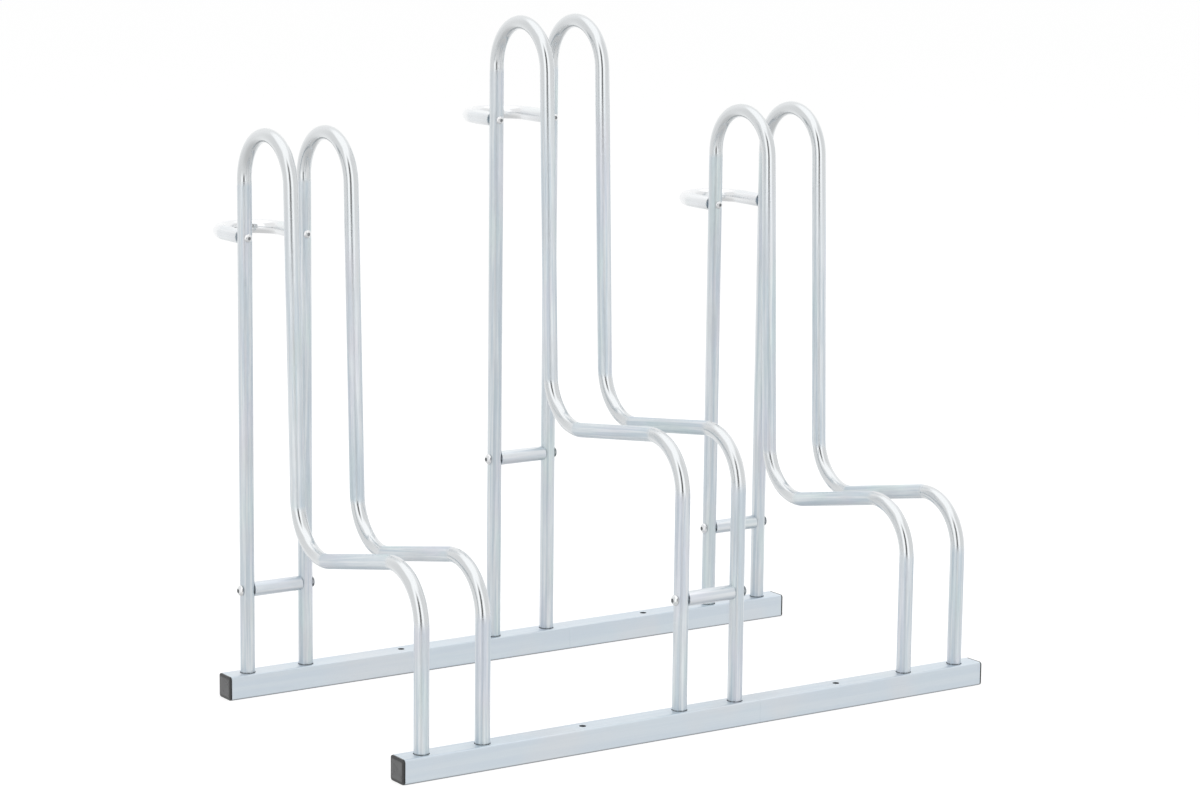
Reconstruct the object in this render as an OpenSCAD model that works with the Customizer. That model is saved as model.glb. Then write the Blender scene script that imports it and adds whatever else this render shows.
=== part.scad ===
// Floor bike rack for three bikes: two square rails, three bent-tube wheel holders and their lock loops.
// Millimetres. X runs along the rails, Y from the wheel's side to the loops, Z up from the floor.

/* [Rails] */
// Side of the square rail tube
rail_w = 30; // [28:0.5:40]
// Wall of the square rail tube
rail_wall = 1.5; // [1:0.1:2.5]
// Outer corner radius of the square rail tube
rail_corner_r = 2.5; // [1.5:0.1:4]
// Distance between the axes of the front and rear rails
rail_gap = 424; // [360:1:600]
// Length of the first rails, which carry the left and middle holders
first_rail_len = 500.5; // [400:0.5:700]
// Length of the second rails, which carry the right holder
second_rail_len = 347.5; // [260:0.5:500]

/* [Places along the rails] */
// From the left end of the first rails to the left holder's first tube
left_margin = 30; // [27:0.5:60]
// From the middle holder's second tube to the seam between the rails
seam_margin = 28; // [20:0.5:36]
// From the right holder's second tube to the right end of the second rails
right_margin = 31.5; // [27:0.5:60]
// From the seam to the ground anchor hole of the second rails
second_anchor_at = 127; // [80:1:160]
// Diameter of the ground anchor holes
anchor_d = 8.5; // [6:0.5:12]

/* [Holder tubes] */
// Outside diameter of the round tube
tube_d = 18; // [16:0.1:25]
// Wall of the round tube
tube_wall = 1.5; // [1:0.1:2.5]
// Distance between the axes of the two tubes of a holder
slot_pitch = 82; // [60:1:120]
// Centre-line radius of the arch
arch_r = 59; // [40:1:75]
// Angle by which the arch stops short of a half turn
arch_short = 2.1; // [0:0.1:4]
// Centre-line radius of the two bends of the step
bend_r = 64; // [45:1:75]
// How much thinner the bent stretches are than the straight ones, on the diameter
bend_thin = 0.1; // [0.05:0.05:0.3]

/* [Low holders] */
// Height of the arch's centre
low_arch_z = 647; // [500:1:800]
// Height at which the centre lines of the step and the front leg meet
low_step_z = 254; // [200:1:300]
// Rise of the step towards the front
low_step_rise = 10.9; // [0:0.1:15]
// Height of the rear spacer
low_spacer_z = 135; // [100:1:180]
// Height of the lock loop
low_loop_z = 576; // [450:1:640]

/* [High holder] */
// Height of the arch's centre
high_arch_z = 772; // [600:1:950]
// Height at which the centre lines of the step and the front leg meet
high_step_z = 365; // [320:1:420]
// Rise of the step towards the front
high_step_rise = 7.5; // [0:0.1:15]
// Height of the rear spacer
high_spacer_z = 265; // [200:1:300]
// Height of the front spacer
high_front_spacer_z = 166; // [100:1:200]
// Height of the lock loop
high_loop_z = 704; // [550:1:760]

/* [Lock loops] */
// Straight length of each arm of a loop
loop_arm = 46; // [20:0.5:80]

/* [Fasteners] */
// Thread diameter of the loops' bolts and of every screw
bolt_d = 6; // [5:0.5:8]
// Diameter of the button heads at the loops
button_d = 10.5; // [9.5:0.5:14]
// Height of the button heads at the loops
button_h = 3.3; // [2.5:0.1:4.5]
// Thread diameter of the spacers' bolts
spacer_bolt_d = 8; // [6:0.5:9]
// Diameter of the button heads at the spacers
spacer_button_d = 14; // [12:0.5:16]
// Height of the button heads at the spacers
spacer_button_h = 4.4; // [3:0.1:5]
// Diameter of the countersunk heads under the rails
countersunk_d = 12; // [11:0.5:14]
// Width across the flats of the hexagon sockets
socket_w = 4; // [3:0.5:5]
// Width across the flats of the sockets at the spacers
spacer_socket_w = 5; // [4:0.5:6]
// Depth of the hexagon sockets
socket_deep = 2; // [1:0.1:2.4]
// Length of the threaded inserts in the tube ends
insert_len = 15; // [12:1:25]
// How far a bolt or screw stops short of the end of its insert
thread_spare = 1; // [0.5:0.5:3]
// Width across the flats of the nuts inside the joiners
nut_w = 10; // [9:0.5:13]
// Height of the nuts inside the joiners
nut_h = 5; // [4:0.5:7]

/* [End caps] */
// Thickness of the cap's face outside the rail
cap_face = 2.5; // [1.5:0.1:5]
// Depth of the cap's plug inside the rail
cap_plug = 14; // [8:0.5:15]
// Wall of the cap's plug
cap_wall = 2; // [1:0.1:3]
// Number of ribs that grip around the plug
cap_ribs = 3; // [2:1:4]

/* [Joiners] */
// Length of the square joiner inside each seam
joiner_len = 100; // [92:1:130]
// Wall of the joiner
joiner_wall = 1.5; // [1:0.1:2.5]
// From the seam to the screw that holds the joiner
joiner_screw_at = 30; // [20:1:40]

/* [Fits] */
// Gap between a tube and its hole in the rail, on the diameter
leg_gap = 1.5; // [0.4:0.1:2.5]
// Gap between a bolt and its drilled hole, on the diameter
bolt_gap = 0.5; // [0.2:0.1:1]
// Gap between a thread and what it screws into, on the diameter
thread_gap = 0.2; // [0.1:0.05:0.4]
// Gap between a pushed-in piece and the bore around it, on each side
push_gap = 0.1; // [0.05:0.05:0.3]
// Gap between a joiner or a cap's plug and the rail around it, on each side
slide_gap = 0.2; // [0.1:0.05:0.4]
// Depth of the countersunk heads above the floor
head_sunk = 0.3; // [0.1:0.1:1]

/* [Hidden] */

$fn = 64;
// Overrun of every cut past the face that it opens
cut = 1;
// Angle that each bend runs on inside the straights on either side of it
bend_lap = 1;
zinc = [0.78, 0.81, 0.85];
bright_zinc = [0.86, 0.88, 0.9];
black = [0.1, 0.1, 0.11];

// The whole rack, with its origin below the middle of its box
rack_len = 2 * cap_face + first_rail_len + second_rail_len;
loop_r = slot_pitch / 2;
tube_r = tube_d / 2;
loop_reach = tube_r + loop_arm + loop_r + tube_r - bend_thin / 2;
rack_deep = rail_w / 2 + rail_gap + loop_reach;
front_y = rail_w / 2 - rack_deep / 2;
rear_y = front_y + rail_gap;
left_end = cap_face - rack_len / 2;
right_end = rack_len / 2 - cap_face;
seam_x = left_end + first_rail_len;

// X of the first tube of each holder
left_x = left_end + left_margin;
middle_x = seam_x - seam_margin - slot_pitch;
right_x = right_end - right_margin - slot_pitch;
first_rail_legs = [left_x, left_x + slot_pitch, middle_x, middle_x + slot_pitch];
second_rail_legs = [right_x, right_x + slot_pitch];
all_legs = concat(first_rail_legs, second_rail_legs);
first_anchor_x = (left_x + slot_pitch + middle_x) / 2;
second_anchor_x = seam_x + second_anchor_at;
joiner_screw_x = seam_x + joiner_screw_at;

// What follows from the tube and bolt sizes
tube_bore = tube_d - 2 * tube_wall;
rail_bore = rail_w - 2 * rail_wall;
spacer_len = slot_pitch - tube_d;
insert_d = tube_bore - 2 * push_gap;
bolt_len = tube_d + insert_len - thread_spare;
rail_bore_r = rail_corner_r - rail_wall / 2;
// How far a leg's foot reaches over the round corners inside the rail, and how high they lift it
foot_reach = max(0, tube_r + rail_bore_r - rail_bore / 2);
foot_lift = rail_bore_r - sqrt(pow(rail_bore_r, 2) - pow(foot_reach, 2));
leg_foot_z = rail_wall + foot_lift;
foot_screw_len = leg_foot_z + insert_len - thread_spare - head_sunk;
slide_w = rail_bore - 2 * slide_gap;
nut_z = rail_wall + slide_gap + joiner_wall;
joiner_screw_len = nut_z + nut_h - head_sunk;

// A square with round corners
module round_square(w, r) {
    square([w - 2 * r, w], center = true);
    square([w, w - 2 * r], center = true);
    for (x = [-1, 1], y = [-1, 1])
        translate([x * (w / 2 - r), y * (w / 2 - r)]) circle(r);
}

// A solid bar with a square section, from x0 along +X, its middle at height z
module square_bar(x0, len, y, z, w, r) {
    translate([x0, y, z]) rotate([90, 0, 90]) linear_extrude(len) round_square(w, r);
}

// A square tube from x0 along +X, its middle at height z
module square_tube(x0, len, y, z, w, wall, r) {
    translate([x0, y, z]) rotate([90, 0, 90]) linear_extrude(len) difference() {
        round_square(w, r);
        round_square(w - 2 * wall, r - wall / 2);
    }
}

module ring(d, bore) {
    difference() {
        circle(d = d);
        circle(d = bore);
    }
}

// A bent round bar. Each run is a straight length, a bend radius and a turn: the bar starts
// at the origin along +Z, a positive turn leads towards -Y and a negative one towards +Y.
module bent_bar(runs, d, i = 0) {
    straight = runs[i][0];
    turn = runs[i][2];
    cylinder(d = d, h = straight);
    if (turn != 0) {
        side = -sign(turn) * runs[i][1];
        translate([0, side, straight]) {
            rotate([90, 0, sign(turn) * 90]) rotate(-bend_lap)
                rotate_extrude(angle = abs(turn) + 2 * bend_lap)
                    translate([abs(side), 0]) circle(d = d - bend_thin);
            rotate([turn, 0, 0]) translate([0, -side, 0]) bent_bar(runs, d, i + 1);
        }
    }
}

// The same runs with the first and last straights longer by the overrun
function overrun(runs) = [
    for (i = [0:len(runs) - 1])
        let (extra = (i == 0 ? cut : 0) + (i == len(runs) - 1 ? cut : 0))
            [runs[i][0] + extra, runs[i][1], runs[i][2]]
];

// A bent round tube, open at both ends
module bent_tube(runs) {
    difference() {
        bent_bar(runs, tube_d);
        translate([0, 0, -cut]) bent_bar(overrun(runs), tube_bore);
    }
}

// The runs of a holder tube, from the foot in the rear rail over the arch to the foot in the front rail
function holder_runs(arch_z, step_z, step_rise) =
    let (
        arch_end_y = -arch_r * (1 + cos(arch_short)),
        arch_end_z = arch_z + arch_r * sin(arch_short),
        lean = tan(arch_short),
        slope = tan(step_rise),
        below_step = slope * (arch_end_y + rail_gap - lean * arch_end_z),
        corner_z = (step_z - below_step) / (1 + slope * lean),
        corner_y = arch_end_y - (arch_end_z - corner_z) * lean,
        rear_turn = 90 - arch_short + step_rise,
        front_turn = 90 + step_rise,
        rear_tangent = bend_r * tan(rear_turn / 2),
        front_tangent = bend_r * tan(front_turn / 2)
    )
    [
        [arch_z - leg_foot_z, arch_r, 180 - arch_short],
        [(arch_end_z - corner_z) / cos(arch_short) - rear_tangent, bend_r, -rear_turn],
        [(corner_y + rail_gap) / cos(step_rise) - rear_tangent - front_tangent, bend_r, front_turn],
        [step_z - leg_foot_z - front_tangent, 0, 0]
    ];

// A hole along X or Y, drilled through a tube for a bolt
module cross_hole(x, y, z, turn, d) {
    translate([x, y, z]) rotate(turn)
        cylinder(d = d + bolt_gap, h = tube_d + 2 * cut, center = true);
}

// A holder tube at x. Each spacer is given by its y and z.
module holder_tube(x, arch_z, step_z, step_rise, loop_z, spacers) {
    color(zinc) difference() {
        translate([x, rear_y, leg_foot_z]) bent_tube(holder_runs(arch_z, step_z, step_rise));
        cross_hole(x, rear_y, loop_z, [90, 0, 0], bolt_d);
        for (s = spacers) cross_hole(x, s[0], s[1], [0, 90, 0], spacer_bolt_d);
    }
}

module low_tube(x) {
    holder_tube(x, low_arch_z, low_step_z, low_step_rise, low_loop_z, [[rear_y, low_spacer_z]]);
}

module high_tube(x) {
    holder_tube(x, high_arch_z, high_step_z, high_step_rise, high_loop_z,
        [[rear_y, high_spacer_z], [front_y, high_front_spacer_z]]);
}

// The cone and shank of a countersunk screw from height z up, larger by gap all round
module countersunk_form(z, len, gap) {
    r = bolt_d / 2 + gap;
    head_r = countersunk_d / 2 + gap;
    translate([0, 0, z]) {
        cylinder(r1 = head_r, r2 = r, h = head_r - r);
        cylinder(r = r, h = len);
    }
}

// The hole that a countersunk screw sits in, open to the floor
module countersunk_hole(x, y, len, gap) {
    translate([x, y, 0]) {
        countersunk_form(head_sunk, len, gap);
        translate([0, 0, -cut]) cylinder(r = countersunk_d / 2 + gap, h = head_sunk + cut);
    }
}

module hex_socket(z, deep, flats = socket_w) {
    translate([0, 0, z]) cylinder(d = flats / cos(30), h = deep, $fn = 6);
}

module countersunk_screw(x, y, len) {
    color(bright_zinc) translate([x, y, 0]) difference() {
        countersunk_form(head_sunk, len, 0);
        hex_socket(head_sunk - cut, socket_deep + cut);
    }
}

// A rail from x0. Its legs stand in the holes in its top, and its screws come from below.
module rail(x0, len, y, legs, screws, anchor_x) {
    color(zinc) difference() {
        square_tube(x0, len, y, rail_w / 2, rail_w, rail_wall, rail_corner_r);
        for (x = legs)
            translate([x, y, rail_w / 2]) cylinder(d = tube_d + leg_gap, h = rail_w / 2 + cut);
        for (x = screws) countersunk_hole(x, y, rail_w / 2, bolt_gap / 2);
        translate([anchor_x, y, -cut]) cylinder(d = anchor_d, h = rail_w + 2 * cut);
    }
}

module first_rail(y) {
    rail(left_end, first_rail_len, y, first_rail_legs, first_rail_legs, first_anchor_x);
}

module second_rail(y) {
    screws = concat(second_rail_legs, joiner_screw_x);
    rail(seam_x, second_rail_len, y, second_rail_legs, screws, second_anchor_x);
}

// The square sleeve across the seam. The middle holder's second tube stands through it.
module joiner(y) {
    corner = rail_corner_r - slide_gap;
    color(zinc) difference() {
        square_tube(seam_x - joiner_len / 2, joiner_len, y, rail_w / 2, slide_w, joiner_wall, corner);
        translate([seam_x - seam_margin, y, 0]) cylinder(d = tube_d + leg_gap, h = rail_w);
        countersunk_hole(joiner_screw_x, y, rail_w / 2, bolt_gap / 2);
    }
}

module joiner_nut(y) {
    color(zinc) translate([joiner_screw_x, y, nut_z]) difference() {
        cylinder(d = nut_w / cos(30), h = nut_h, $fn = 6);
        translate([0, 0, -cut]) cylinder(d = bolt_d + thread_gap, h = nut_h + 2 * cut);
    }
}

// An end cap. side is -1 for the left end and 1 for the right end.
module end_cap(y, side) {
    rib_w = rail_bore - 2 * push_gap;
    corner = rail_corner_r - rail_wall / 2;
    end_x = side < 0 ? left_end : right_end;
    color(black) translate([end_x, y, rail_w / 2]) mirror([side > 0 ? 1 : 0, 0, 0]) {
        square_bar(-cap_face, cap_face, 0, 0, rail_w, rail_corner_r);
        square_tube(0, cap_plug, 0, 0, slide_w, cap_wall, corner);
        for (i = [1:cap_ribs])
            square_tube(i * cap_plug / (cap_ribs + 1), cap_wall / 2, 0, 0, rib_w, cap_wall, corner);
    }
}

// A lock loop, from the rear of the left leg round to the rear of the right leg
module lock_loop(x, z) {
    color(bright_zinc) translate([x, rear_y + tube_r, z]) rotate([-90, 90, 0])
        bent_tube([[loop_arm, loop_r, 180], [loop_arm, 0, 0]]);
}

// A threaded insert that starts at the origin and lies along +Z
module insert(thread_d) {
    color(zinc) difference() {
        cylinder(d = insert_d, h = insert_len);
        translate([0, 0, -cut]) cylinder(d = thread_d + thread_gap, h = insert_len + 2 * cut);
    }
}

module loop_inserts(x, z) {
    for (i = [0, 1])
        translate([x + i * slot_pitch, rear_y + tube_r, z]) rotate([-90, 0, 0]) insert(bolt_d);
}

// A button head bolt: its head lies below the origin and its shank along +Z
module button_bolt(thread_d, head_d, head_h, flats) {
    dome_r = (pow(head_d / 2, 2) + pow(head_h, 2)) / (2 * head_h);
    color(bright_zinc) difference() {
        union() {
            intersection() {
                translate([0, 0, dome_r - head_h]) sphere(dome_r);
                translate([0, 0, -head_h]) cylinder(d = head_d, h = head_h);
            }
            cylinder(d = thread_d, h = bolt_len);
        }
        hex_socket(-head_h - cut, socket_deep + cut, flats);
    }
}

module loop_bolts(x, z) {
    for (i = [0, 1])
        translate([x + i * slot_pitch, rear_y - tube_r, z]) rotate([-90, 0, 0])
            button_bolt(bolt_d, button_d, button_h, socket_w);
}

module spacer(x, y, z) {
    color(zinc) translate([x + tube_r, y, z]) rotate([0, 90, 0])
        linear_extrude(spacer_len) ring(tube_d, tube_bore);
}

module spacer_inserts(x, y, z) {
    translate([x + tube_r, y, z]) rotate([0, 90, 0]) insert(spacer_bolt_d);
    translate([x + tube_r + spacer_len, y, z]) rotate([0, -90, 0]) insert(spacer_bolt_d);
}

module spacer_bolt() {
    button_bolt(spacer_bolt_d, spacer_button_d, spacer_button_h, spacer_socket_w);
}

module spacer_bolts(x, y, z) {
    translate([x - tube_r, y, z]) rotate([0, 90, 0]) spacer_bolt();
    translate([x + slot_pitch + tube_r, y, z]) rotate([0, -90, 0]) spacer_bolt();
}

// The threaded inserts in the feet of every tube that stands in one rail line
module leg_inserts(y) {
    color(zinc) for (x = all_legs) difference() {
        translate([x, y, leg_foot_z]) cylinder(d = insert_d, h = insert_len);
        countersunk_hole(x, y, insert_len + leg_foot_z + cut, thread_gap / 2);
    }
}

module foot_screws(y) {
    for (x = all_legs) countersunk_screw(x, y, foot_screw_len);
}

first_rail(front_y);  // front_first_rail
second_rail(front_y);  // front_second_rail
first_rail(rear_y);  // rear_first_rail
second_rail(rear_y);  // rear_second_rail
joiner(front_y);  // front_joiner
joiner(rear_y);  // rear_joiner
countersunk_screw(joiner_screw_x, front_y, joiner_screw_len);  // front_joiner_screw
countersunk_screw(joiner_screw_x, rear_y, joiner_screw_len);  // rear_joiner_screw
joiner_nut(front_y);  // front_joiner_nut
joiner_nut(rear_y);  // rear_joiner_nut
end_cap(front_y, -1);  // front_left_cap
end_cap(front_y, 1);  // front_right_cap
end_cap(rear_y, -1);  // rear_left_cap
end_cap(rear_y, 1);  // rear_right_cap
low_tube(left_x);  // left_holder_tube_1
low_tube(left_x + slot_pitch);  // left_holder_tube_2
high_tube(middle_x);  // middle_holder_tube_1
high_tube(middle_x + slot_pitch);  // middle_holder_tube_2
low_tube(right_x);  // right_holder_tube_1
low_tube(right_x + slot_pitch);  // right_holder_tube_2
lock_loop(left_x, low_loop_z);  // left_lock_loop
lock_loop(middle_x, high_loop_z);  // middle_lock_loop
lock_loop(right_x, low_loop_z);  // right_lock_loop
loop_inserts(left_x, low_loop_z);  // left_loop_inserts
loop_inserts(middle_x, high_loop_z);  // middle_loop_inserts
loop_inserts(right_x, low_loop_z);  // right_loop_inserts
loop_bolts(left_x, low_loop_z);  // left_loop_bolts
loop_bolts(middle_x, high_loop_z);  // middle_loop_bolts
loop_bolts(right_x, low_loop_z);  // right_loop_bolts
spacer(left_x, rear_y, low_spacer_z);  // left_spacer
spacer(middle_x, rear_y, high_spacer_z);  // middle_spacer
spacer(right_x, rear_y, low_spacer_z);  // right_spacer
spacer(middle_x, front_y, high_front_spacer_z);  // middle_front_spacer
spacer_inserts(left_x, rear_y, low_spacer_z);  // left_spacer_inserts
spacer_inserts(middle_x, rear_y, high_spacer_z);  // middle_spacer_inserts
spacer_inserts(right_x, rear_y, low_spacer_z);  // right_spacer_inserts
spacer_inserts(middle_x, front_y, high_front_spacer_z);  // middle_front_spacer_inserts
spacer_bolts(left_x, rear_y, low_spacer_z);  // left_spacer_bolts
spacer_bolts(middle_x, rear_y, high_spacer_z);  // middle_spacer_bolts
spacer_bolts(right_x, rear_y, low_spacer_z);  // right_spacer_bolts
spacer_bolts(middle_x, front_y, high_front_spacer_z);  // middle_front_spacer_bolts
leg_inserts(front_y);  // front_leg_inserts
leg_inserts(rear_y);  // rear_leg_inserts
foot_screws(front_y);  // front_foot_screws
foot_screws(rear_y);  // rear_foot_screws
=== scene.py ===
"""Floor bike rack: its looks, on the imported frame.

Lengths are in metres. +X runs along the rails, +Y from the side where wheels roll in to the loops, +Z up.
"""

import math

import bmesh
import bpy
from mathutils import Matrix, Vector


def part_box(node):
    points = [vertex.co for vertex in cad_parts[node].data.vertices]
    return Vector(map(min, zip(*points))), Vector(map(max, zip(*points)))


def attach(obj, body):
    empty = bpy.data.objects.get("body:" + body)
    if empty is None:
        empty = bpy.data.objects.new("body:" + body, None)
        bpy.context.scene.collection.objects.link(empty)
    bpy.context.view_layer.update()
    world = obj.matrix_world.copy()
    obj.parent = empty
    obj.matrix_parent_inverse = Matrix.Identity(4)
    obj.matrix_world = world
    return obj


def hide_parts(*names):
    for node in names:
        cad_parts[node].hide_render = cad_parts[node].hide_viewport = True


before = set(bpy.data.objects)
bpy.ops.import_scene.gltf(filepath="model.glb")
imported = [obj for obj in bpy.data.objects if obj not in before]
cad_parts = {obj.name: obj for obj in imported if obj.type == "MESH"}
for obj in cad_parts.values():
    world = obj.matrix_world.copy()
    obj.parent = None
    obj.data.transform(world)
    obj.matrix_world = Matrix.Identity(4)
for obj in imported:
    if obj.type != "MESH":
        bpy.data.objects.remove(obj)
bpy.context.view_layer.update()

MM = 0.001
UP = Vector((0, 0, 1))
BACK = Vector((0, 1, 0))
RIGHT = Vector((1, 0, 0))

# Camera, fitted to the photo's rails, feet and tubes: angles in degrees, lens and sensor in millimetres
CAMERA_AT = (-2.3080, -3.48045, 1.1206)
CAMERA_YAW = -33.756
CAMERA_PITCH = 10.250
CAMERA_ROLL = 0.673
CAMERA_LENS = 101.569
SENSOR_WIDTH = 36.0

# Floor: half its width, its grey to the light, and the grey and glow that the camera sees
FLOOR_HALF = 40.0
FLOOR_GREY = 0.8
FLOOR_SEEN = 0.42
FLOOR_GLOW = 0.70

# Lamps: place, size and power of each, and the point that they shine at
LAMPS = {
    "above": ((-0.8, -0.6, 4.0), (4.0, 4.0), 60),
    "side": ((3.4, -1.0, 2.4), (3.0, 2.4), 24),
}
LAMP_TARGET = (0, 0, 0.4)

# The room's plain light, and what shines back from steel: plain walls, a darker floor, a pale backdrop and
# two soft boxes on the camera's side that meet overhead, with a dark gap between them
WORLD_LIGHT = 0.7
WALLS = 0.93
UNDERFOOT = 0.70
BACKDROP = 1.08
SOFT_BOXES = 1.34
DARK_DEPTH = 0.88

# Where each of those begins and ends: widths are cosines from the dark gap's direction, heights are sines
DARK_SIDE = (-0.553, -0.833, 0)
DARK_WIDTH = (0.962, 0.992)
DARK_ABOVE = (0.85, 0.5)
DARK_BELOW = (-0.38, -0.22)
BOX_WIDTH = (0.60, 0.80)
BOX_OVERHEAD = (0.70, 0.90)
BOX_BELOW = (-0.40, -0.15)
BACKDROP_WIDTH = (-0.2, -0.7)
UNDERFOOT_ABOVE = (-0.9, -0.35)

# Rails
RAIL_WALL = 1.5 * MM
RAIL_CORNER = 2.5 * MM
FIRST_RAIL_LEGS = 4
LEG_HOLE_R = 9.75 * MM
ANCHOR_R = 4.25 * MM
ANCHOR_FROM_SEAM = 127 * MM

# Tubes. The arch stops short of a half turn by so many degrees.
TUBE_R = 9 * MM
TUBE_WALL = 1.5 * MM
ARCH_R = 59 * MM
ARCH_SHORT = 2.1
BEND_R = 64 * MM
LOOP_ARM = 46 * MM

# Each holder's arch, step and loop heights, in metres, and its step's rise in degrees
LOW = {"arch": 0.647, "step": 0.254, "rise": 10.9, "loop": 0.576}
HIGH = {"arch": 0.772, "step": 0.365, "rise": 7.5, "loop": 0.704}
HOLDERS = {"left": LOW, "middle": HIGH, "right": LOW}

# Button bolts: shank and head radius, the head's height and half its socket's width
LOOP_BOLT = (3 * MM, 5.25 * MM, 3.3 * MM, 2 * MM)
SPACER_BOLT = (4 * MM, 7 * MM, 4.4 * MM, 2.5 * MM)
BOLT_LEN = 32 * MM
SOCKET_DEEP = 2 * MM

# Countersunk screws: their shank and socket are as large as the loops' bolts'. Their heads lie a little
# inside the rail, in holes that are wider by the gap.
BOLT_R = LOOP_BOLT[0]
SOCKET_R = LOOP_BOLT[3] / math.cos(math.radians(30))
SUNK_R = 6 * MM
HEAD_SUNK = 0.3 * MM
SCREW_GAP = 0.25 * MM
FOOT_SCREW_LEN = 15.2 * MM
JOINER_SCREW_LEN = 7.9 * MM

# End caps
CAP_FACE = 2.5 * MM
CAP_STEM_W = 26.6 * MM
CAP_RIB_W = 26.8 * MM
CAP_WALL = 2 * MM
CAP_CORNER = 1.75 * MM
CAP_RIBS = 3
CAP_OUTER_CORNER = 3.5 * MM
CAP_BEVEL_W = 5.0 * MM
CAP_BEVEL_H = 0.5 * MM
CAP_EDGE = 0.3 * MM
CAP_SMOOTH = 16

# Broken edges of rails, bolts and screws
EDGE = 0.3 * MM

# By what share a bend flattens the tube in its own plane and narrows it sideways, and over what length from
# either end of the bend that grows
BEND_PRESS = 0.02
BEND_PINCH = 0.005
PRESS_OVER = 6 * MM

# How round the tubes' and spacers' ends are, and how far the spacers' reach along the legs beside them
RIM = 0.3 * MM
SPACER_RIM = 0.9 * MM
SPACER_SADDLE = 1.5 * MM

# How far inside each bend the polish that the bending die leaves begins and ends, and over what lengths it
# comes and goes. A negative number lies outside the bend: the arch's polish begins just before it, and fades
# slowly down the straight after it. POLISH_OUTER is how much further it reaches on a bend's outer side.
ARCH_POLISH = (-8 * MM, -130 * MM, 7 * MM, 140 * MM)
STEP_POLISH = (8 * MM, 8 * MM, 7 * MM, 7 * MM)
FRONT_POLISH = (8 * MM, 1 * MM, 7 * MM, 12 * MM)
LOOP_POLISH = (2 * MM, 2 * MM, 6 * MM, 6 * MM)
POLISH_OUTER = 4 * MM

# Fineness of the meshes: points round a tube, degrees to a ring in a bend, steps in a round corner, a bolt's
# dome and a rounded rim, the angle in degrees from which an edge is sharp, and how near 1 the largest part of
# a side's normal is where the side is shaded flat
SIDES = 48
BEND_STEP = 3.0
CORNER_STEPS = 6
DOME_STEPS = 8
RIM_STEPS = 3
SMOOTH = 35
FLAT = 0.99999

# Rings on the straights: so far apart at first after a bend and then further each time, and so many before
# the next bend
RING_STEP = 4 * MM
RING_GROWTH = 1.5
RINGS_BEFORE = 2

# How far apart the pieces lie in the finish's pattern, so that no two look the same
HOLDER_SEED = 7
TUBE_SEED = 3
LOOP_SEEDS = (30, 5)
SPACER_SEEDS = (60, 4)

# The tones of zinc plate: where it is dull and clear between the draw lines, in the lines themselves, where
# it is worked or has painted shade, and in the ring of painted shade where a foot enters a rail; how many
# bands there are in a metre across the tube, and how strongly the lines show; and how rough the plain and the
# worked or shaded steel is
TUBE_TONES = {
    "dull": (0.630, 0.697, 0.747), "clear": (0.787, 0.825, 0.848), "line": (0.540, 0.615, 0.680),
    "worked_or_shaded": (0.690, 0.710, 0.722), "foot": (0.120, 0.125, 0.135),
    "bands": 260, "lines": 0.34, "rough": (0.42, 0.54), "smooth": (0.12, 0.20),
}
LOOP_TONES = {
    "dull": (0.795, 0.820, 0.840), "clear": (0.865, 0.880, 0.890), "line": (0.710, 0.745, 0.780),
    "worked_or_shaded": (0.845, 0.855, 0.865),
    "bands": 190, "lines": 0.15, "rough": (0.24, 0.32), "smooth": (0.16, 0.24),
}
SPACER_TONES = {
    "dull": (0.680, 0.730, 0.775), "clear": (0.800, 0.830, 0.855), "line": (0.600, 0.655, 0.710),
    "bands": 190, "lines": 0.20, "rough": (0.30, 0.40),
}
# On the rails the second tone is painted shade: inside them, on the walls of their holes and along their
# lower edges
RAIL_TONES = {
    "dull": (0.645, 0.715, 0.780), "clear": (0.675, 0.740, 0.795), "line": (0.600, 0.670, 0.735),
    "worked_or_shaded": (0.110, 0.115, 0.125),
    "bands": 110, "lines": 0.06, "rough": (0.34, 0.42), "smooth": (0.20, 0.30),
}
# On the bolts and screws the second tone is painted shade, dark at the bottom of their sockets
BOLT_TONES = {
    "dull": (0.780, 0.790, 0.800), "clear": (0.840, 0.845, 0.850), "line": (0.700, 0.720, 0.740),
    "worked_or_shaded": (0.330, 0.340, 0.350),
    "bands": 190, "lines": 0.15, "rough": (0.22, 0.30), "smooth": (0.40, 0.50),
}

# Noise in the steel: features in a metre, detail, how far the pattern is scaled down along the piece, and its
# roughness where that isn't the usual one
DRAWN = 0.02
PATCHY = 0.25
BAND_DETAIL = 1.0
STREAK_NOISE = (900, 2.0, DRAWN)
PATCH_NOISE = (60, 2.0, PATCHY)
TINT_NOISE = (45, 1.0, PATCHY)
CLOUD_NOISE = (420, 3.0, 1.0, 0.6)
DRIFT_NOISE = (11, 1.0)

# Between which values of its noise each layer of colour or roughness comes in, and from what to what share
BAND_RANGE = (0.38, 0.60)
GREY_RANGE = (0.46, 0.66, 0.0, 0.45)
GREEN_RANGE = (0.54, 0.72, 0.0, 0.18)
VIOLET_RANGE = (0.46, 0.30, 0.0, 0.18)
LINE_RANGE = (0.4, 0.7)
FOOT_SHADE_RANGE = (0.38, 0.58, 0.35, 0.9)
ROUGH_RANGE = (0.35, 0.65)
CLOUD_RANGE = (0.4, 0.7, 0.0, 0.05)
SMOOTH_RANGE = (0.3, 0.7)

# The grey and violet tints, as shares of the dull and clear tones
GREY_SHARES = (1.01, 1.03, 1.06)
VIOLET_RED_SHARE = 0.97
VIOLET_BLUE_SHARE = 0.98

# The steel's bump
STREAK_HEIGHT = 0.6
CLOUD_HEIGHT = 0.4
STEEL_BUMP = {"in_Strength": 0.10, "in_Distance": 0.2 * MM}

# Painted shade on the rails: how far in from the sides and from the top it begins and is full, and from what
# height down to what height it darkens the lower edges, and how much. The legs' rings of painted shade reach
# so far above the rails.
SHADE_IN = (1.2 * MM, 1.6 * MM)
SHADE_UNDER = (0.4 * MM, 0.6 * MM)
SHADE_EDGE = (2.4 * MM, 0.8 * MM)
SHADE_EDGE_DARK = 0.75
SHADE_FOOT = 1.8 * MM
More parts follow.
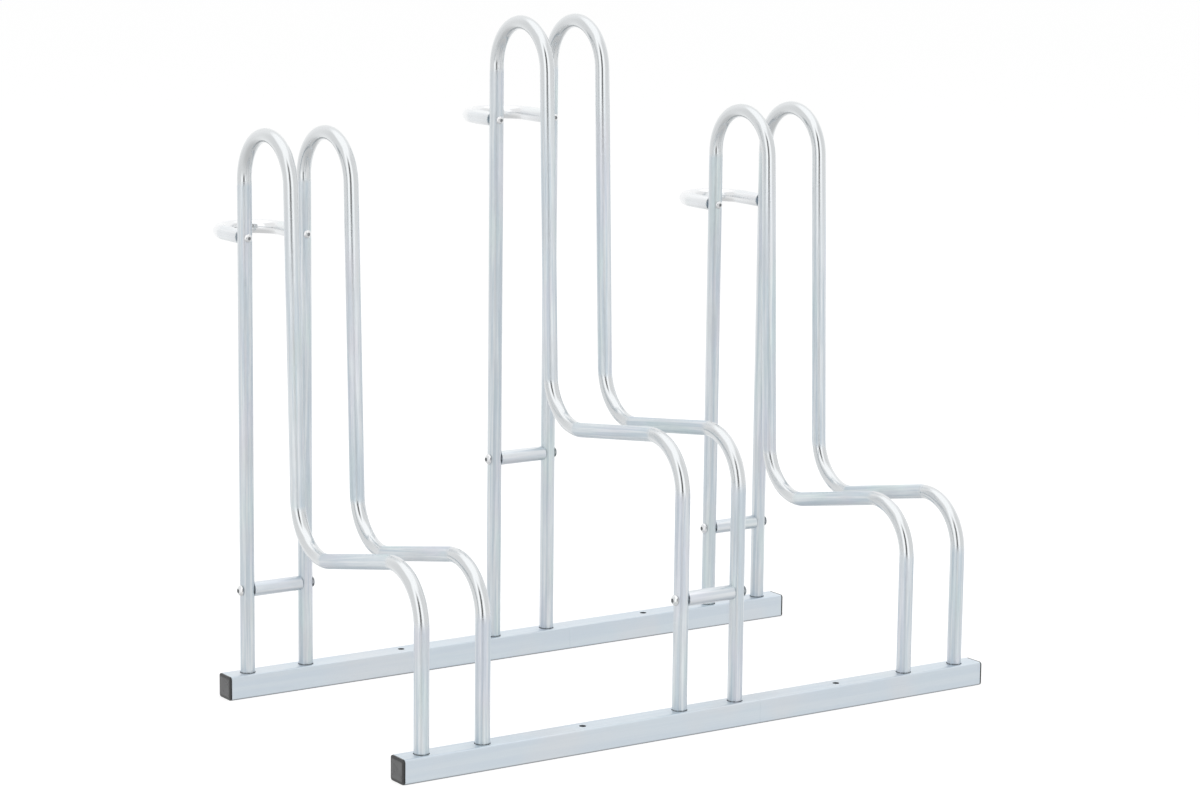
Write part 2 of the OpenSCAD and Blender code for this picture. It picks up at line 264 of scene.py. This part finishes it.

# Plastic: its noises as above, the tones of the face and of the rim, which is darkened by painted shade, and
# its bump
GRAIN_NOISE = (2600, 2.0)
WORN_NOISE = (90, 3.0)
FACE_DARK = (0.080, 0.081, 0.083)
FACE_PALE = (0.115, 0.116, 0.119)
RIM_BLACK_AND_SHADE = (0.010, 0.011, 0.012)
WORN_RANGE = (0.35, 0.7)
FACE_RANGE = (0.5, 0.9)
PLASTIC_ROUGH = (0.3, 0.7, 0.26, 0.36)
PLASTIC_BUMP = {"in_Strength": 0.25, "in_Distance": 0.1 * MM}


# Places from the frame


def middle(node):
    low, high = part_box(node)
    return (low + high) / 2


RAIL_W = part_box("front_first_rail")[1].z
FRONT_Y = middle("front_first_rail").y
REAR_Y = middle("rear_first_rail").y
SEAM_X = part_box("front_first_rail")[1].x
LEGS = [middle(f"{side}_holder_tube_{k}").x for side in HOLDERS for k in (1, 2)]


# Meshes


def new_object(name, data):
    """Puts a new object into the scene."""
    item = bpy.data.objects.new(name, data)
    bpy.context.scene.collection.objects.link(item)
    return item


def mesh_object(name, bm, material, node, smooth=SMOOTH):
    """Turns a bmesh into a piece that rides on the rack and stands for a CAD node."""
    bmesh.ops.recalc_face_normals(bm, faces=bm.faces)
    mesh = bpy.data.meshes.new(name)
    bm.to_mesh(mesh)
    bm.free()
    mesh.shade_smooth()
    mesh.set_sharp_from_angle(angle=math.radians(smooth))
    mesh.materials.append(material)
    piece = new_object(name, mesh)
    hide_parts(node)
    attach(piece, "root")
    return piece


def flatten_shading(piece):
    """Shades the large flat sides flat, so that only the round corners blend."""
    for face in piece.data.polygons:
        if max(abs(part) for part in face.normal) > FLAT:
            face.use_smooth = False


def mark(bm, name, indices):
    """Sets an attribute to 1 on some vertices. It stays 0 on the others."""
    layer = bm.verts.layers.float.get(name) or bm.verts.layers.float.new(name)
    bm.verts.ensure_lookup_table()
    for i in indices:
        bm.verts[i][layer] = 1.0


def loft(bm, rings, closed=False):
    """Skins a row of rings that have as many points each. A closed row joins its last ring to its first."""
    made = [[bm.verts.new(p) for p in ring] for ring in rings]
    pairs = list(zip(made, made[1:]))
    if closed:
        pairs.append((made[-1], made[0]))
    for a, b in pairs:
        for i in range(len(a)):
            j = (i + 1) % len(a)
            bm.faces.new((a[i], a[j], b[j], b[i]))
    return made


def fan(bm, ring, centre):
    """Closes a ring with triangles that meet at its centre."""
    tip = bm.verts.new(centre)
    for i in range(len(ring)):
        bm.faces.new((ring[i], ring[(i + 1) % len(ring)], tip))


def facing(at, direction):
    """A place whose Z points along a direction."""
    return Matrix.Translation(at) @ Vector(direction).to_track_quat("Z", "Y").to_matrix().to_4x4()


def stack(bm, layers, place, closed=False):
    """Skins outlines at heights along the Z of a place. An open stack gets flat ends."""
    rings = [[place @ Vector((x, y, height)) for x, y in outline] for outline, height in layers]
    made = loft(bm, rings, closed)
    if not closed:
        for ring, (_, height) in ((made[0], layers[0]), (made[-1], layers[-1])):
            fan(bm, ring, place @ Vector((0, 0, height)))


def socket_stack(bm, layers, place):
    """A stack whose first outline is the bottom of a socket: the attribute "deep" is 1 there, for painted
    shade.
    """
    first = len(bm.verts)
    stack(bm, layers, place)
    mark(bm, "deep", [*range(first, first + SIDES), first + SIDES * len(layers)])


def circle(radius):
    return [(radius * math.cos(2 * math.pi * i / SIDES), radius * math.sin(2 * math.pi * i / SIDES))
            for i in range(SIDES)]


def hexagon(corner_radius):
    """A hexagon with as many points as a circle, so that the two can be skinned together."""
    half_side = math.radians(30)
    points = []
    for i in range(SIDES):
        a = 2 * math.pi * i / SIDES
        flat = math.cos(half_side) / math.cos((a + half_side) % (2 * half_side) - half_side)
        points.append((corner_radius * flat * math.cos(a), corner_radius * flat * math.sin(a)))
    return points


def round_square(width, corner):
    points = []
    for quarter in range(4):
        for step in range(CORNER_STEPS + 1):
            a = math.radians(90 * (quarter + step / CORNER_STEPS))
            x = math.copysign(width / 2 - corner, math.cos(math.radians(90 * quarter + 45)))
            y = math.copysign(width / 2 - corner, math.sin(math.radians(90 * quarter + 45)))
            points.append((x + corner * math.cos(a), y + corner * math.sin(a)))
    return points


def drilled(bm, drills):
    """Cuts the drills' solids out of a mesh."""
    scratch = []
    for part in (bm, drills):
        bmesh.ops.recalc_face_normals(part, faces=part.faces)
        mesh = bpy.data.meshes.new("scratch")
        part.to_mesh(mesh)
        scratch.append(new_object("scratch", mesh))
    drills.free()
    cut = scratch[0].modifiers.new("cut", "BOOLEAN")
    cut.operation = "DIFFERENCE"
    cut.solver = "EXACT"
    cut.object = scratch[1]
    result = scratch[0].evaluated_get(bpy.context.evaluated_depsgraph_get())
    bm.clear()
    bm.from_mesh(result.to_mesh())
    result.to_mesh_clear()
    for item in scratch:
        mesh = item.data
        bpy.data.objects.remove(item)
        bpy.data.meshes.remove(mesh)


# Rails, caps, bolts and screws


def rail(name, y, leg_xs, screw_xs, anchor_x, material):
    """A square tube with the holes for its legs, its ground anchor and the screws from below."""
    low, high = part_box(name)
    length = high.x - low.x
    full = round_square(RAIL_W, RAIL_CORNER)
    rim = round_square(RAIL_W - 2 * EDGE, RAIL_CORNER - EDGE)
    inside = round_square(RAIL_W - 2 * RAIL_WALL, RAIL_CORNER - RAIL_WALL / 2)
    layers = [(inside, 0), (rim, 0), (full, EDGE), (full, length - EDGE), (rim, length), (inside, length)]
    bm = bmesh.new()
    stack(bm, layers, facing((low.x, y, RAIL_W / 2), RIGHT), closed=True)

    drills = bmesh.new()
    leg, anchor = circle(LEG_HOLE_R), circle(ANCHOR_R)
    for x in leg_xs:
        stack(drills, [(leg, 0), (leg, RAIL_W)], facing((x, y, RAIL_W / 2), UP))
    stack(drills, [(anchor, 0), (anchor, 2 * RAIL_W)], facing((anchor_x, y, -RAIL_W / 2), UP))
    wide, narrow = circle(SUNK_R + SCREW_GAP), circle(BOLT_R + SCREW_GAP)
    screw = [(wide, -EDGE), (wide, HEAD_SUNK), (narrow, HEAD_SUNK + SUNK_R - BOLT_R), (narrow, RAIL_W / 3)]
    for x in screw_xs:
        stack(drills, screw, facing((x, y, 0), UP))
    drilled(bm, drills)
    flatten_shading(mesh_object(name + "_steel", bm, material, name))


def end_cap(name, y, material):
    """A moulded plug: a hollow, ribbed stem inside the rail, and a face with a flat bevel.

    The attribute "face" is 1 on the face within the bevel; painted shade darkens the bevel and sides beyond
    it.
    """
    low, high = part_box(name)
    outward = -1 if low.x < 0 else 1
    tip = high.x if outward < 0 else low.x
    depth = high.x - low.x
    stem = depth - CAP_FACE
    hollow = round_square(CAP_STEM_W - 2 * CAP_WALL, CAP_CORNER - CAP_WALL / 2)
    plain, ribbed = round_square(CAP_STEM_W, CAP_CORNER), round_square(CAP_RIB_W, CAP_CORNER)
    thick = CAP_WALL / 2
    layers = [(hollow, stem), (hollow, 0), (plain, 0)]
    for i in range(CAP_RIBS, 0, -1):
        rib = stem * (1 - i / (CAP_RIBS + 1)) - thick
        layers += [(plain, rib), (ribbed, rib), (ribbed, rib + thick), (plain, rib + thick)]
    layers += [(plain, stem), (round_square(RAIL_W, CAP_OUTER_CORNER), stem)]
    for inset, below in ((0, CAP_BEVEL_H + CAP_EDGE), (CAP_EDGE, CAP_BEVEL_H), (CAP_BEVEL_W, 0)):
        corner = max(CAP_OUTER_CORNER - inset, CAP_EDGE)
        layers.append((round_square(RAIL_W - 2 * inset, corner), depth - below))
    bm = bmesh.new()
    stack(bm, layers, facing((tip, y, RAIL_W / 2), (outward, 0, 0)))
    last_ring = len(hollow) * (len(layers) - 1)
    mark(bm, "face", [*range(last_ring, last_ring + len(hollow)), -1])
    flatten_shading(mesh_object(name + "_plastic", bm, material, name, CAP_SMOOTH))


def button_bolt(bm, at, direction, size):
    """A domed head with a hexagon socket, outside the tube at a point, and its shank along a direction."""
    shank, head, high, flats = size
    socket = flats / math.cos(math.radians(30))
    dome = (head ** 2 + high ** 2) / (2 * high)
    top = socket + EDGE
    radii = [top + (head - top) * math.sin(math.radians(90 * i / DOME_STEPS)) for i in range(DOME_STEPS + 1)]
    heights = [dome - high - math.sqrt(dome ** 2 - r ** 2) for r in radii]
    layers = [(hexagon(socket), SOCKET_DEEP - high), (hexagon(socket), heights[0])]
    layers += [(circle(r), height) for r, height in zip(radii, heights)]
    layers += [(circle(head - EDGE / 2), 0), (circle(shank), 0)]
    layers += [(circle(shank), BOLT_LEN - EDGE), (circle(shank - EDGE), BOLT_LEN)]
    socket_stack(bm, layers, facing(at, direction))


def countersunk_screw(bm, at, length):
    """A countersunk head with a hexagon socket below a rail, and its shank upwards."""
    cone = SUNK_R - BOLT_R
    layers = [(hexagon(SOCKET_R), SOCKET_DEEP), (hexagon(SOCKET_R), EDGE / 2), (circle(SOCKET_R + EDGE), 0)]
    layers += [(circle(SUNK_R - EDGE), 0), (circle(SUNK_R - EDGE / 2), EDGE / 2), (circle(BOLT_R), cone)]
    layers += [(circle(BOLT_R), length - EDGE), (circle(BOLT_R - EDGE), length)]
    socket_stack(bm, layers, facing(at, UP))


# Bent tubes


def walk(runs, start):
    """Samples a bent path in its own plane: (along, across, heading, distance, press) for each ring.

    A run is a straight length, a bend radius, a turn in degrees and the bend's polish limits. The path
    starts along the plane's first axis, and a positive turn leads towards the second one's negative side.
    The polished stretches come back too: (from, to, length of the fade there, length of the fade there,
    side), where side is 1 or -1 for the side that is the bend's outer one.
    """
    along, across, heading, distance = start, 0.0, 0.0, 0.0
    samples, polished = [], []

    def note(press=0.0):
        samples.append((along, across, heading, distance, press))

    def forward(length):
        nonlocal along, across, distance
        along += math.cos(heading) * length
        across -= math.sin(heading) * length
        distance += length

    note()
    for i, (straight, radius, turn, limits) in enumerate(runs):
        before = RINGS_BEFORE if turn else 0
        left, gap = straight - before * RING_STEP, RING_STEP
        while i and gap < left / 2:
            forward(gap)
            note()
            left -= gap
            gap *= RING_GROWTH
        forward(left)
        note()
        for _ in range(before):
            forward(RING_STEP)
            note()
        count = math.ceil(abs(turn) / BEND_STEP)
        if not count:
            break
        side = math.copysign(1, turn)
        part = radius * math.radians(abs(turn)) / count
        begin = distance
        for k in range(1, count + 1):
            turned = heading + math.radians(turn) / count
            along += side * radius * (math.sin(turned) - math.sin(heading))
            across += side * radius * (math.cos(turned) - math.cos(heading))
            heading = turned
            distance += part
            note(min(1.0, part * min(k, count - k) / PRESS_OVER))
        polished.append((begin + limits[0], distance - limits[1], limits[2], limits[3], side))
    return samples, polished


def holder_runs(holder, foot, gap):
    """The same straights and bends as the CAD tube's, from the rear foot to the front foot."""
    lean = math.tan(math.radians(ARCH_SHORT))
    slope = math.tan(math.radians(holder["rise"]))
    arch_end_y = -ARCH_R * (1 + math.cos(math.radians(ARCH_SHORT)))
    arch_end_z = holder["arch"] + ARCH_R * math.sin(math.radians(ARCH_SHORT))
    below_step = slope * (arch_end_y + gap - lean * arch_end_z)
    corner_z = (holder["step"] - below_step) / (1 + slope * lean)
    corner_y = arch_end_y - (arch_end_z - corner_z) * lean
    rear_turn = 90 - ARCH_SHORT + holder["rise"]
    front_turn = 90 + holder["rise"]
    rear_tangent = BEND_R * math.tan(math.radians(rear_turn / 2))
    front_tangent = BEND_R * math.tan(math.radians(front_turn / 2))
    down = (arch_end_z - corner_z) / math.cos(math.radians(ARCH_SHORT))
    step = (corner_y + gap) / math.cos(math.radians(holder["rise"]))
    return [
        (holder["arch"] - foot, ARCH_R, 180 - ARCH_SHORT, ARCH_POLISH),
        (down - rear_tangent, BEND_R, -rear_turn, STEP_POLISH),
        (step - rear_tangent - front_tangent, BEND_R, front_turn, FRONT_POLISH),
        (holder["step"] - foot - front_tangent, 0, 0, None),
    ]


def tube(name, path, origin, first, second, material, seed, rim=RIM, saddle=0.0):
    """A hollow tube swept along a sampled path, with rounded rims, and saddled ends where it meets a leg.

    It carries two attributes: "straight" is where each point lay before the tube was bent, and "polish"
    is 1 where the bending die rubbed it bright.
    """
    samples, polished = path
    third = first.cross(second)
    bore = TUBE_R - TUBE_WALL
    straight, polish = [], []

    def shine(distance, a):
        """How polished the tube is so far along, at an angle round it."""
        most = 0.0
        for begin, end, fade_in, fade_out, side in polished:
            more = POLISH_OUTER * (0.5 - 0.5 * side * math.sin(a))
            reached, remaining = distance - begin + more, end - distance + more
            most = max(most, min(1.0, reached / fade_in, remaining / fade_out))
        return most

    def ring(sample, radius, shift=0.0, outward=0):
        along, across, heading, distance, press = sample
        ahead = first * math.cos(heading) - second * math.sin(heading)
        aside = -first * math.sin(heading) - second * math.cos(heading)
        centre = origin + first * along + second * across + ahead * shift
        wide, deep = radius * (1 - BEND_PINCH * press), radius * (1 - BEND_PRESS * press)
        points = []
        for i in range(SIDES):
            a = 2 * math.pi * i / SIDES
            beside = wide * math.cos(a)
            reach = outward * min(saddle, TUBE_R - math.sqrt(max(0.0, TUBE_R ** 2 - beside ** 2)))
            points.append(centre + ahead * reach + third * beside + aside * (deep * math.sin(a)))
            straight.append((radius * math.cos(a), radius * math.sin(a), distance + shift + seed))
            polish.append(shine(distance, a))
        return points

    turns = [math.radians(90 * k / RIM_STEPS) for k in range(RIM_STEPS + 1)]
    rims = [(TUBE_R - rim * (1 - math.sin(turn)), rim * (1 - math.cos(turn))) for turn in turns]
    rows = [ring(samples[0], bore, 0.0, -1)]
    rows += [ring(samples[0], radius, shift, -1) for radius, shift in rims]
    rows += [ring(sample, TUBE_R) for sample in samples[1:-1]]
    rows += [ring(samples[-1], radius, -shift, 1) for radius, shift in reversed(rims)]
    rows += [ring(samples[-1], bore, 0.0, 1)]
    rows += [ring(sample, bore) for sample in reversed(samples[1:-1])]
    bm = bmesh.new()
    loft(bm, rows, closed=True)
    mesh = mesh_object(name + "_steel", bm, material, name).data
    vectors = mesh.attributes.new("straight", "FLOAT_VECTOR", "POINT")
    vectors.data.foreach_set("vector", [x for point in straight for x in point])
    mesh.attributes.new("polish", "FLOAT", "POINT").data.foreach_set("value", polish)


# Materials


class Nodes:
    """Adds shader nodes to one material or world, and links them by name."""

    def __init__(self, owner):
        owner.use_nodes = True
        self.tree = owner.node_tree
        self.tree.nodes.clear()

    def add(self, kind, **values):
        node = self.tree.nodes.new("ShaderNode" + kind)
        for key, value in values.items():
            if key.startswith("in_"):
                self.put(node.inputs[key[3:].replace("_", " ")], value)
            else:
                setattr(node, key, value)
        return node

    def put(self, socket, value):
        if isinstance(value, bpy.types.NodeSocket):
            self.tree.links.new(value, socket)
        else:
            socket.default_value = value

    def maths(self, operation, *values):
        node = self.add("Math", operation=operation)
        for socket, value in zip(node.inputs, values):
            self.put(socket, value)
        return node.outputs[0]

    def vector(self, operation, *values):
        node = self.add("VectorMath", operation=operation)
        for socket, value in zip(node.inputs, values):
            self.put(socket, value)
        return node.outputs[1 if operation == "DOT_PRODUCT" else 0]

    def number(self, factor, a, b):
        """Mixes two numbers."""
        node = self.add("Mix", data_type="FLOAT")
        for socket, value in zip((node.inputs[0], node.inputs[2], node.inputs[3]), (factor, a, b)):
            self.put(socket, value)
        return node.outputs[0]

    def blend(self, factor, a, b):
        """Mixes two colours."""
        node = self.add("Mix", data_type="RGBA")
        self.put(node.inputs[0], factor)
        self.put(node.inputs[6], a)
        self.put(node.inputs[7], b)
        return node.outputs[2]

    def spread(self, value, low, high, to_low=0.0, to_high=1.0):
        """Maps low..high to to_low..to_high, clamped."""
        node = self.add("MapRange", interpolation_type="SMOOTHSTEP")
        for socket, number in zip(node.inputs, (value, low, high, to_low, to_high)):
            self.put(socket, number)
        return node.outputs[0]

    def noise(self, place, scale, detail, stretch=(1, 1, 1), rough=0.5):
        """Noise with its features 1 / scale metres wide, stretched along an axis where stretch is small."""
        mapping = self.add("Mapping", in_Vector=place, in_Scale=stretch)
        node = self.add("TexNoise", in_Vector=mapping.outputs[0], in_Scale=scale,
                        in_Detail=detail, in_Roughness=rough)
        return node.outputs[0]

    def object_place(self):
        """The place in the object's own frame, which is the rack's."""
        return self.add("TexCoord").outputs["Object"]

    def attribute(self, name, output="Fac"):
        return self.add("Attribute", attribute_name=name).outputs[output]


def rgb(red, green, blue):
    return (red, green, blue, 1.0)


def painted_rail_shade(n):
    """Painted shade: 1 inside the rails and on the walls of their holes, and less along their lower edges.

    Little light comes there.
    """
    place = n.add("SeparateXYZ", in_Vector=n.object_place())
    off_front = n.maths("ABSOLUTE", n.maths("SUBTRACT", place.outputs["Y"], FRONT_Y))
    off_rear = n.maths("ABSOLUTE", n.maths("SUBTRACT", place.outputs["Y"], REAR_Y))
    off = n.maths("MINIMUM", off_front, off_rear)
    within = n.spread(off, *(RAIL_W / 2 - depth for depth in SHADE_IN))
    below = n.spread(place.outputs["Z"], *(RAIL_W - depth for depth in SHADE_UNDER))
    edge = n.spread(place.outputs["Z"], *SHADE_EDGE, 0.0, SHADE_EDGE_DARK)
    return n.maths("MAXIMUM", n.maths("MULTIPLY", within, below), edge)


def zinc(name, tones, straightened, worked_or_shaded):
    """Bright zinc plate: drawn steel with faint tints, and another tone where it was worked or has painted
    shade.

    The pattern follows the tube's unbent length where the piece carries that, and else the rails' length.
    The last argument names the attribute that is 1 where the other tone shows, or is a function that adds its
    nodes.
    """
    material = bpy.data.materials.new(name)
    n = Nodes(material)
    place = n.attribute("straight", "Vector") if straightened else n.object_place()
    length_axis = 2 if straightened else 0

    def noise(scale, detail, length=1.0, rough=0.5):
        stretch = [1.0, 1.0, 1.0]
        stretch[length_axis] = length
        return n.noise(place, scale, detail, stretch, rough)

    streak = noise(*STREAK_NOISE)
    band = noise(tones["bands"], BAND_DETAIL, DRAWN)
    patch = noise(*PATCH_NOISE)
    tint = noise(*TINT_NOISE)
    cloud = noise(*CLOUD_NOISE)
    drift = noise(*DRIFT_NOISE)

    dull, clear = tones["dull"], tones["clear"]
    grey = [sum(dull) / 3 * share for share in GREY_SHARES]
    green = (dull[0], clear[1], dull[2])
    violet = (clear[0] * VIOLET_RED_SHARE, dull[1], clear[2] * VIOLET_BLUE_SHARE)
    colour = n.blend(n.spread(band, *BAND_RANGE), rgb(*dull), rgb(*clear))
    colour = n.blend(n.spread(drift, *GREY_RANGE), colour, rgb(*grey))
    colour = n.blend(n.spread(tint, *GREEN_RANGE), colour, rgb(*green))
    colour = n.blend(n.spread(tint, *VIOLET_RANGE), colour, rgb(*violet))
    colour = n.blend(n.spread(streak, *LINE_RANGE, 0.0, tones["lines"]), colour, rgb(*tones["line"]))
    rough = n.maths("ADD", n.spread(streak, *ROUGH_RANGE, *tones["rough"]), n.spread(cloud, *CLOUD_RANGE))
    # The other tone: the die's polish on tubes and loops, and painted shade on the rails and in the bolts'
    # sockets
    if worked_or_shaded:
        where = worked_or_shaded(n) if callable(worked_or_shaded) else n.attribute(worked_or_shaded)
        colour = n.blend(where, colour, rgb(*tones["worked_or_shaded"]))
        rough = n.number(where, rough, n.spread(patch, *SMOOTH_RANGE, *tones["smooth"]))
    # Painted shade: a patchy dark ring on the legs just above the rails, where they go into the holes
    if "foot" in tones:
        height = n.add("SeparateXYZ", in_Vector=n.object_place()).outputs["Z"]
        ring = n.spread(height, RAIL_W + SHADE_FOOT, RAIL_W)
        shade = n.maths("MULTIPLY", ring, n.spread(cloud, *FOOT_SHADE_RANGE))
        colour = n.blend(shade, colour, rgb(*tones["foot"]))
    streaks = n.maths("MULTIPLY", streak, STREAK_HEIGHT)
    clouds = n.maths("MULTIPLY", cloud, CLOUD_HEIGHT)
    bump = n.add("Bump", in_Height=n.maths("ADD", streaks, clouds), **STEEL_BUMP)
    shader = n.add("BsdfPrincipled", in_Metallic=1.0, in_Base_Color=colour, in_Roughness=rough,
                   in_Normal=bump.outputs[0])
    n.add("OutputMaterial", in_Surface=shader.outputs[0])
    return material


def black_plastic():
    """Moulded black plastic with a fine grain, greyer on the face than on the rim, which is darkened with
    painted shade.
    """
    material = bpy.data.materials.new("black_plastic")
    n = Nodes(material)
    place = n.object_place()
    grain = n.noise(place, *GRAIN_NOISE)
    worn = n.noise(place, *WORN_NOISE)
    grained = n.blend(n.spread(worn, *WORN_RANGE), rgb(*FACE_DARK), rgb(*FACE_PALE))
    colour = n.blend(n.spread(n.attribute("face"), *FACE_RANGE), rgb(*RIM_BLACK_AND_SHADE), grained)
    bump = n.add("Bump", in_Height=grain, **PLASTIC_BUMP)
    shader = n.add("BsdfPrincipled", in_Base_Color=colour, in_Normal=bump.outputs[0],
                   in_Roughness=n.spread(worn, *PLASTIC_ROUGH))
    n.add("OutputMaterial", in_Surface=shader.outputs[0])
    return material


ZINC_TUBE = zinc("zinc_tube", TUBE_TONES, True, "polish")
ZINC_LOOP = zinc("zinc_loop", LOOP_TONES, True, "polish")
ZINC_SPACER = zinc("zinc_spacer", SPACER_TONES, True, None)
ZINC_RAIL = zinc("zinc_rail", RAIL_TONES, False, painted_rail_shade)
ZINC_INNER = zinc("zinc_inner", RAIL_TONES, False, None)
ZINC_BOLT = zinc("zinc_bolt", BOLT_TONES, False, "deep")
PLASTIC = black_plastic()


# The rack


def holder_tubes():
    for number, (side, holder) in enumerate(HOLDERS.items()):
        for k in (1, 2):
            name = f"{side}_holder_tube_{k}"
            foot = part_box(name)[0].z
            path = walk(holder_runs(holder, foot, REAR_Y - FRONT_Y), foot)
            origin = Vector((middle(name).x, REAR_Y, 0))
            seed = number * HOLDER_SEED + k * TUBE_SEED
            tube(name, path, origin, UP, BACK, ZINC_TUBE, seed)


def lock_loops():
    for number, (side, holder) in enumerate(HOLDERS.items()):
        left, right = LEGS[2 * number], LEGS[2 * number + 1]
        radius = (right - left) / 2
        origin = Vector((right, REAR_Y + TUBE_R, holder["loop"]))
        path = walk([(LOOP_ARM, radius, 180, LOOP_POLISH), (LOOP_ARM, 0, 0, None)], 0.0)
        seed = LOOP_SEEDS[0] + number * LOOP_SEEDS[1]
        tube(side + "_lock_loop", path, origin, BACK, RIGHT, ZINC_LOOP, seed)
        bm = bmesh.new()
        for x in (left, right):
            button_bolt(bm, (x, REAR_Y - TUBE_R, holder["loop"]), BACK, LOOP_BOLT)
        mesh_object(side + "_loop_bolts_steel", bm, ZINC_BOLT, side + "_loop_bolts")


def spacers():
    for number, name in enumerate(("left_spacer", "middle_spacer", "right_spacer", "middle_front_spacer")):
        low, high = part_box(name)
        centre = (low + high) / 2
        length = high.x - low.x
        path = [(0, 0, 0, 0, 0), (length, 0, 0, length, 0)], []
        start = Vector((low.x, centre.y, centre.z))
        seed = SPACER_SEEDS[0] + number * SPACER_SEEDS[1]
        tube(name, path, start, RIGHT, UP, ZINC_SPACER, seed, SPACER_RIM, SPACER_SADDLE)
        bm = bmesh.new()
        button_bolt(bm, (low.x - 2 * TUBE_R, centre.y, centre.z), RIGHT, SPACER_BOLT)
        button_bolt(bm, (high.x + 2 * TUBE_R, centre.y, centre.z), -RIGHT, SPACER_BOLT)
        mesh_object(name + "_bolts_steel", bm, ZINC_BOLT, name + "_bolts")


def rails():
    first, second = LEGS[:FIRST_RAIL_LEGS], LEGS[FIRST_RAIL_LEGS:]
    first_anchor = (LEGS[1] + LEGS[2]) / 2
    for row, y in (("front", FRONT_Y), ("rear", REAR_Y)):
        joiner_x = middle(row + "_joiner_screw").x
        rail(row + "_first_rail", y, first, first, first_anchor, ZINC_RAIL)
        rail(row + "_second_rail", y, second, second + [joiner_x], SEAM_X + ANCHOR_FROM_SEAM, ZINC_RAIL)
        end_cap(row + "_left_cap", y, PLASTIC)
        end_cap(row + "_right_cap", y, PLASTIC)
        bm = bmesh.new()
        for x in LEGS:
            countersunk_screw(bm, (x, y, HEAD_SUNK), FOOT_SCREW_LEN)
        mesh_object(row + "_foot_screws_steel", bm, ZINC_BOLT, row + "_foot_screws")
        bm = bmesh.new()
        countersunk_screw(bm, (joiner_x, y, HEAD_SUNK), JOINER_SCREW_LEN)
        mesh_object(row + "_joiner_screw_steel", bm, ZINC_BOLT, row + "_joiner_screw")


def inner_nodes():
    """Gives plain zinc to the CAD nodes that nothing replaces: inserts, joiners and nuts."""
    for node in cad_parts.values():
        if not node.hide_render:
            node.data.materials.clear()
            node.data.materials.append(ZINC_INNER)


# The floor, the room, the lamps and the camera


def white_floor():
    """A plain white floor that keeps the rack's soft shadow."""
    bm = bmesh.new()
    corners = ((-1, -1), (1, -1), (1, 1), (-1, 1))
    bm.faces.new([bm.verts.new((x * FLOOR_HALF, y * FLOOR_HALF, 0)) for x, y in corners])
    mesh = bpy.data.meshes.new("floor")
    bm.to_mesh(mesh)
    bm.free()
    floor = new_object("floor", mesh)
    material = bpy.data.materials.new("floor")
    n = Nodes(material)
    path = n.add("LightPath")
    seen = n.maths("MAXIMUM", path.outputs["Is Camera Ray"], path.outputs["Is Transmission Ray"])
    plain = n.add("BsdfDiffuse", in_Color=rgb(FLOOR_GREY, FLOOR_GREY, FLOOR_GREY))
    soft = n.add("BsdfDiffuse", in_Color=rgb(FLOOR_SEEN, FLOOR_SEEN, FLOOR_SEEN))
    glow = n.add("Emission", in_Color=rgb(1, 1, 1), in_Strength=FLOOR_GLOW)
    pale = n.add("AddShader")
    n.put(pale.inputs[0], soft.outputs[0])
    n.put(pale.inputs[1], glow.outputs[0])
    mix = n.add("MixShader", in_Fac=seen)
    n.put(mix.inputs[1], plain.outputs[0])
    n.put(mix.inputs[2], pale.outputs[0])
    n.add("OutputMaterial", in_Surface=mix.outputs[0])
    mesh.materials.append(material)
    floor.visible_glossy = False


def room():
    """White to the camera, and plain light to dull surfaces.

    What shines sees soft boxes on the camera's side and overhead too, and the dark gap between them.
    """
    world = bpy.data.worlds.new("room")
    bpy.context.scene.world = world
    n = Nodes(world)
    path = n.add("LightPath")
    direction = n.add("TexCoord").outputs["Generated"]
    level = n.vector("NORMALIZE", n.vector("MULTIPLY", direction, (1, 1, 0)))
    ahead = n.vector("DOT_PRODUCT", level, DARK_SIDE)
    height = n.add("SeparateXYZ", in_Vector=direction).outputs["Z"]
    walls = n.number(n.spread(ahead, *BACKDROP_WIDTH), WALLS, BACKDROP)
    upright = n.maths("MULTIPLY", n.spread(ahead, *BOX_WIDTH), n.spread(height, *BOX_BELOW))
    boxes = n.maths("MAXIMUM", upright, n.spread(height, *BOX_OVERHEAD))
    sky = n.number(n.spread(height, *UNDERFOOT_ABOVE), UNDERFOOT, n.number(boxes, walls, SOFT_BOXES))
    open_height = n.maths("MULTIPLY", n.spread(height, *DARK_ABOVE), n.spread(height, *DARK_BELOW))
    dark = n.maths("MULTIPLY", n.spread(ahead, *DARK_WIDTH), open_height)
    mirrored = n.maths("MULTIPLY", sky, n.maths("SUBTRACT", 1.0, n.maths("MULTIPLY", dark, DARK_DEPTH)))
    shiny = n.maths("MAXIMUM", path.outputs["Is Glossy Ray"], path.outputs["Is Transmission Ray"])
    strength = n.number(shiny, n.number(path.outputs["Is Camera Ray"], WORLD_LIGHT, 1.0), mirrored)
    background = n.add("Background", in_Color=rgb(1, 1, 1), in_Strength=strength)
    n.add("OutputWorld", in_Surface=background.outputs[0])


def soft_lamps():
    for name, (at, size, power) in LAMPS.items():
        light = bpy.data.lights.new(name, "AREA")
        light.shape = "RECTANGLE"
        light.size, light.size_y = size
        light.energy = power
        lamp = new_object(name, light)
        lamp.visible_glossy = False
        lamp.location = at
        lamp.rotation_euler = (Vector(LAMP_TARGET) - Vector(at)).to_track_quat("-Z", "Y").to_euler()


def camera():
    data = bpy.data.cameras.new("camera")
    data.lens = CAMERA_LENS
    data.sensor_width = SENSOR_WIDTH
    cam = new_object("camera", data)
    turn = (Matrix.Rotation(math.radians(CAMERA_YAW), 4, "Z")
            @ Matrix.Rotation(math.radians(90 - CAMERA_PITCH), 4, "X")
            @ Matrix.Rotation(math.radians(CAMERA_ROLL), 4, "Z"))
    cam.matrix_world = Matrix.Translation(CAMERA_AT) @ turn
    bpy.context.scene.camera = cam


holder_tubes()
lock_loops()
spacers()
rails()
inner_nodes()
camera()
white_floor()
room()
soft_lamps()
bpy.context.scene.view_settings.view_transform = "Standard"
